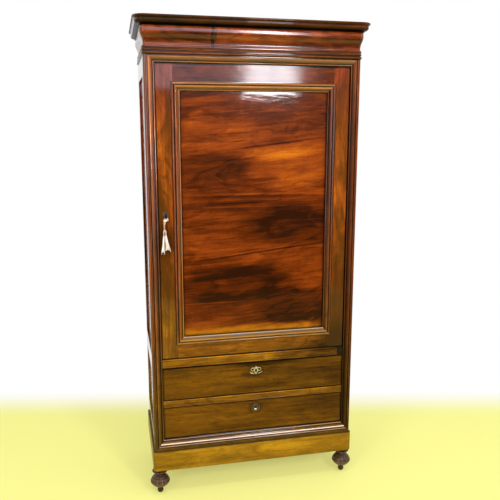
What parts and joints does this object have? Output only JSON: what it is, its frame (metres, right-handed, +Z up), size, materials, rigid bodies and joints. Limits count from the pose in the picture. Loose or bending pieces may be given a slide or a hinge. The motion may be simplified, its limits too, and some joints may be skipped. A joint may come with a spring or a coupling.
{
  "type": "bonnetiere cabinet",
  "caption": "Tall narrow cupboard with a framed and panelled door over drawers, a moulded cornice, a plinth and turned bun feet.",
  "frame": {"origin": "on the floor, under the middle of the whole cabinet", "axes": "+Z up, -Y out of the front, +X towards the door's pivots"},
  "size_m": [1.008, 0.488, 2.1],
  "materials": {
    "walnut": "French-polished, glossy",
    "walnut_dark": "French-polished, glossy",
    "walnut_panel": "French-polished veneer, glossy",
    "walnut_drawer": "French-polished, glossy",
    "walnut_plinth": "French-polished, satin",
    "walnut_feet": "dark stain, glossy",
    "oak": "unfinished, matt",
    "iron": "dark, satin",
    "steel": "worn, satin",
    "brass": "old, satin",
    "aged_brass": "dark patina, satin",
    "cotton": "twisted cotton, matt"
  },
  "bodies": {
    "carcase": {"cornice_cap": "walnut_dark", "frieze_front": "walnut", "frieze_sides": "walnut", "necking_mouldings": "walnut_dark", "cornice_back_rail": "oak", "front_post_left": "walnut", "front_post_right": "walnut", "back_posts": "oak", "side_rails": "walnut", "side_panels": "walnut", "top_rail": "walnut", "sill_rail": "walnut", "drawer_rail": "walnut", "bottom_rail": "walnut", "frame_moulding_left": "walnut_dark", "frame_moulding_right": "walnut_dark", "frame_moulding_top": "walnut_dark", "frame_moulding_bottom": "walnut_dark", "carcase_top": "oak", "cupboard_floor": "oak", "carcase_bottom": "oak", "back_boards": "oak", "drawer_runners": "oak", "shelves": "oak", "shelf_cleats": "oak", "plinth_front": "walnut_plinth", "plinth_sides": "walnut_plinth", "plinth_back": "oak", "foot_blocks": "oak", "feet": "walnut_feet", "door_stops": "oak", "pivot_plates": "iron", "strike_plate": "iron", "carcase_screws": "iron"},
    "door": {"door_stile_lock": "walnut", "door_stile_hinge": "walnut", "door_rail_top": "walnut", "door_rail_bottom": "walnut", "door_panel": "walnut_panel", "door_mouldings": "walnut_dark", "pivot_shoes": "iron", "door_lock_case": "iron", "keyhole_ring": "steel", "door_screws": "iron"},
    "door_key": {"door_key": "steel"},
    "door_bolt": {"door_bolt": "iron"},
    "tassel": {"tassel_cord": "cotton", "tassel": "cotton"},
    "upper_drawer": {"upper_drawer_front": "walnut_drawer", "upper_drawer_box": "oak", "upper_drawer_bottom": "oak", "upper_drawer_lock": "iron", "upper_drawer_escutcheon": "brass"},
    "upper_drawer_bolt": {"upper_drawer_bolt": "iron"},
    "lower_drawer": {"lower_drawer_front": "walnut_drawer", "lower_drawer_box": "oak", "lower_drawer_bottom": "oak", "lower_drawer_lock": "iron", "lower_drawer_escutcheon": "aged_brass"},
    "lower_drawer_bolt": {"lower_drawer_bolt": "iron"}
  },
  "joints": [
    {"name": "door_hinge", "type": "hinge", "parent": "carcase", "child": "door", "pos_m": [0.408, -0.19, 1.288], "axis": [0, 0, 1], "range_deg": [0, 115]},
    {"name": "key_turn", "type": "hinge", "parent": "door", "child": "door_key", "pos_m": [-0.3905, -0.196, 1.297], "axis": [0, 1, 0], "range_deg": [0, 90]},
    {"name": "door_bolt_slide", "type": "slide", "parent": "door", "child": "door_bolt", "axis": [-1, 0, 0], "range_m": [0, 0.009]},
    {"name": "tassel_swing", "type": "hinge", "parent": "door", "child": "tassel", "pos_m": [-0.3905, -0.214, 1.297], "axis": [0, 1, 0], "range_deg": [-20, 20]},
    {"name": "upper_drawer_slide", "type": "slide", "parent": "carcase", "child": "upper_drawer", "axis": [0, -1, 0], "range_m": [0, 0.3]},
    {"name": "upper_drawer_bolt_slide", "type": "slide", "parent": "upper_drawer", "child": "upper_drawer_bolt", "axis": [0, 0, 1], "range_m": [0, 0.008]},
    {"name": "lower_drawer_slide", "type": "slide", "parent": "carcase", "child": "lower_drawer", "axis": [0, -1, 0], "range_m": [0, 0.3]},
    {"name": "lower_drawer_bolt_slide", "type": "slide", "parent": "lower_drawer", "child": "lower_drawer_bolt", "axis": [0, 0, 1], "range_m": [0, 0.008]}
  ],
  "couplings": [
    {"joint": "door_bolt_slide", "follows": "key_turn", "m_per_rad": 0.005729}
  ]
}
